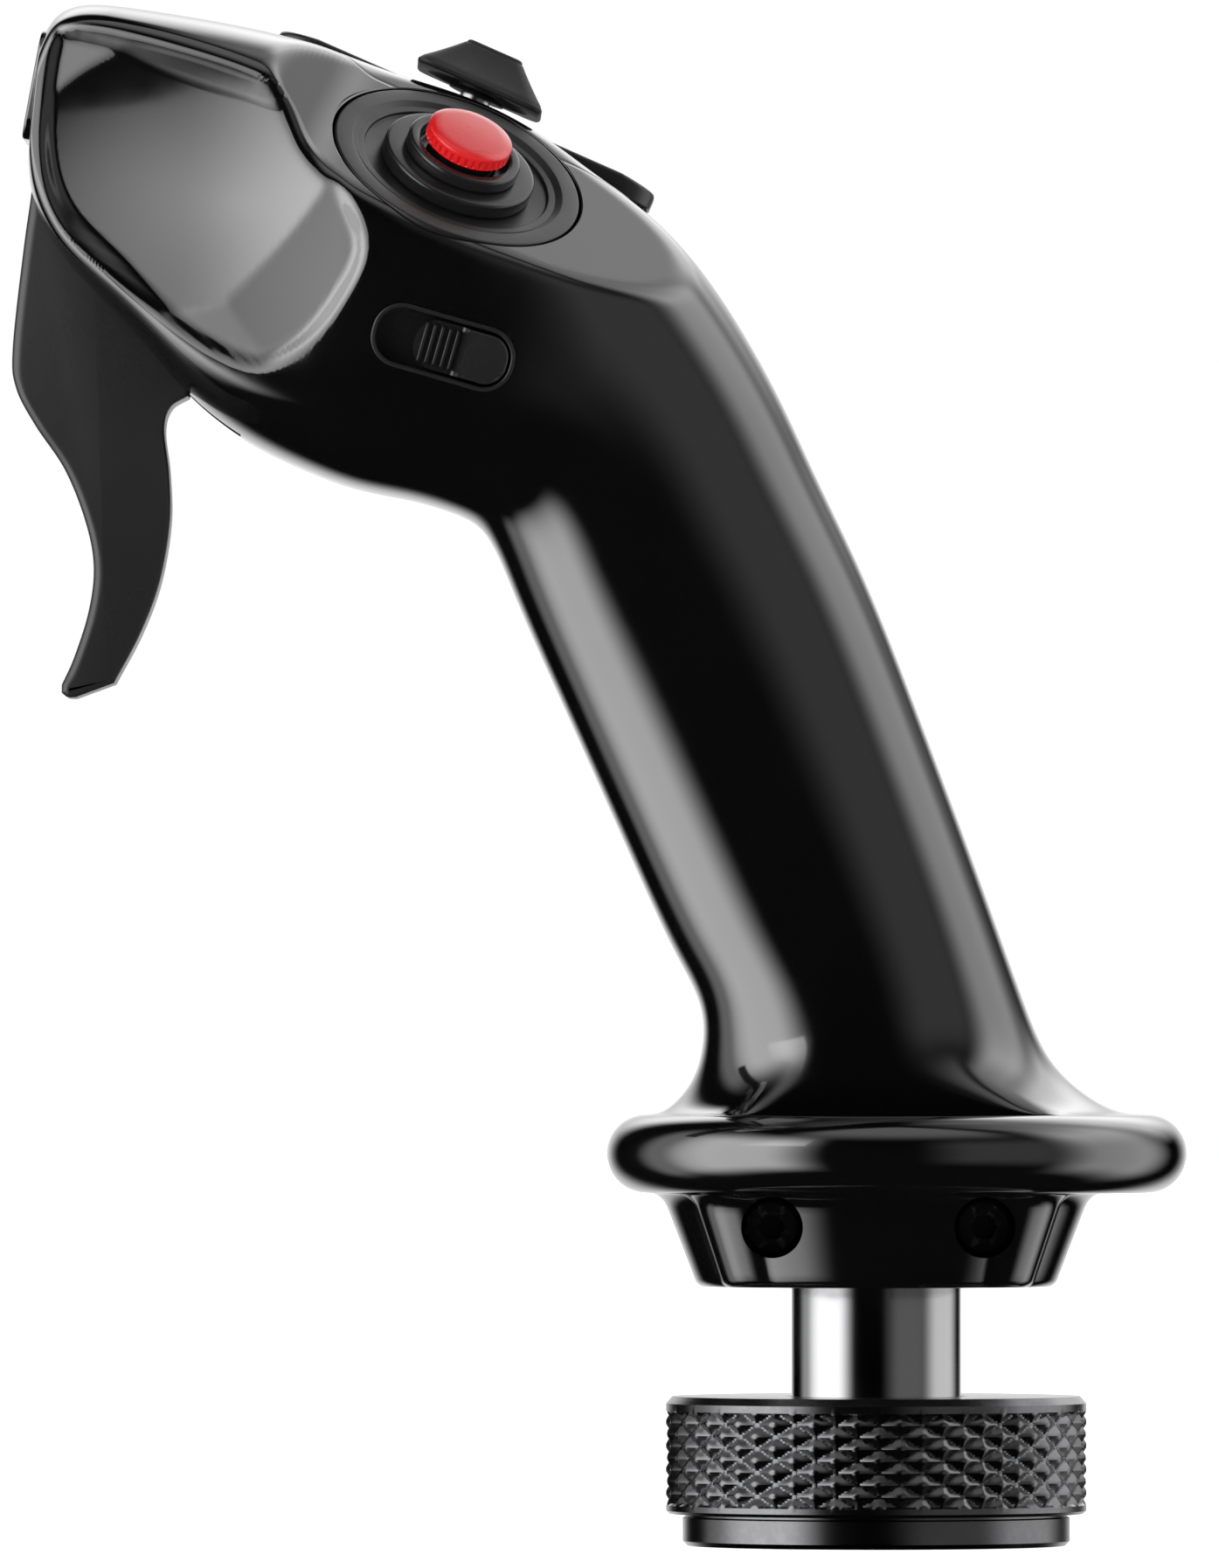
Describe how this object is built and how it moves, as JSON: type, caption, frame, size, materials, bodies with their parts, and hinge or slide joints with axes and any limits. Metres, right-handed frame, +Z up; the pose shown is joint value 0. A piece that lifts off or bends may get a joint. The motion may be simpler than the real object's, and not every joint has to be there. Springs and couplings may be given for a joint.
{
  "type": "flight joystick grip",
  "caption": "Flight joystick grip with a trigger, a thumb button, a hat switch and a slide switch on a steel tube with a knurled coupling nut.",
  "frame": {"origin": "centre of the coupling nut's bottom face, on the thread's axis", "axes": "+Z up along the tube, nose towards -X, the pilot's left is -Y"},
  "size_m": [0.1479, 0.073, 0.194],
  "materials": {
    "gloss_shell": "moulded plastic, high gloss black",
    "satin_trigger": "moulded plastic, satin black",
    "matte_deck": "moulded plastic, fine matte black",
    "hat_rubber": "moulded rubber, matte black",
    "button_red": "moulded plastic, gloss red",
    "black_plastic": "moulded plastic, satin black",
    "anodised_nut": "aluminium, black anodised",
    "bright_steel": "polished steel tube",
    "spring_steel": "plain steel",
    "black_steel": "blackened steel",
    "contact_gold": "plated brass",
    "board_green": "glass fibre board with solder mask",
    "loom_grey": "loom sheath"
  },
  "bodies": {
    "grip": {"shell_left": "gloss_shell", "shell_right": "gloss_shell", "nose_cap": "gloss_shell", "clamp_screws": "black_steel", "clamp_nuts": "black_steel", "case_screws": "black_steel", "mounting_tube": "bright_steel", "tube_circlip": "spring_steel", "tube_cross_pin": "spring_steel", "plug_insert": "black_plastic", "plug_contacts": "contact_gold", "fire_bezel": "matte_deck", "fire_ring_nut": "black_plastic", "fire_bushing": "black_plastic", "fire_switch": "black_plastic", "hat_plate": "matte_deck", "plate_screws": "black_steel", "hat_housing": "black_plastic", "hat_contact_board": "board_green", "slide_tray": "black_plastic", "slide_switch_body": "black_plastic", "trigger_pin": "spring_steel", "trigger_spring": "spring_steel", "trigger_switch_first": "black_plastic", "trigger_switch_second": "black_plastic", "circuit_board": "board_green", "board_components": "black_plastic", "wiring_loom": "loom_grey"},
    "trigger": {"trigger": "satin_trigger"},
    "fire_button": {"fire_button": "button_red", "fire_plunger": "black_plastic"},
    "hat_gimbal": {"hat_gimbal": "spring_steel"},
    "hat": {"hat_cap": "hat_rubber", "hat_stem": "spring_steel", "hat_skirt": "hat_rubber"},
    "slide_knob": {"slide_knob": "black_plastic"},
    "thrust_washer": {"thrust_washer": "spring_steel"},
    "coupling_nut": {"coupling_nut": "anodised_nut"}
  },
  "joints": [
    {"name": "trigger_swing", "type": "hinge", "parent": "grip", "child": "trigger", "pos_m": [-0.097, 0, 0.166], "axis": [0, -1, 0], "range_deg": [0, 10], "stiffness_Nm_per_rad": 0.6, "springref_deg": -5.73, "deforming": ["trigger_spring"]},
    {"name": "fire_press", "type": "slide", "parent": "grip", "child": "fire_button", "axis": [-0.3416, 0.527, -0.7782], "range_m": [0, 0.0015], "stiffness_N_per_m": 600, "springref_m": -0.0015},
    {"name": "hat_roll", "type": "hinge", "parent": "grip", "child": "hat_gimbal", "pos_m": [-0.05361, 0.0129, 0.17616], "axis": [0.915, 0, -0.4035], "range_deg": [-5, 5], "stiffness_Nm_per_rad": 0.3},
    {"name": "hat_pitch", "type": "hinge", "parent": "hat_gimbal", "child": "hat", "pos_m": [-0.05361, 0.0129, 0.17616], "axis": [-0.0141, 0.9994, -0.0319], "range_deg": [-5, 5], "stiffness_Nm_per_rad": 0.3},
    {"name": "slide_travel", "type": "slide", "parent": "grip", "child": "slide_knob", "axis": [-0.9613, 0, 0.2756], "range_m": [0, 0.004]},
    {"name": "washer_lift", "type": "slide", "parent": "grip", "child": "thrust_washer", "axis": [0, 0, 1], "range_m": [0, 0.0126]},
    {"name": "nut_turn", "type": "hinge", "parent": "thrust_washer", "child": "coupling_nut", "pos_m": [0, 0, 0], "axis": [0, 0, 1], "continuous": true}
  ]
}
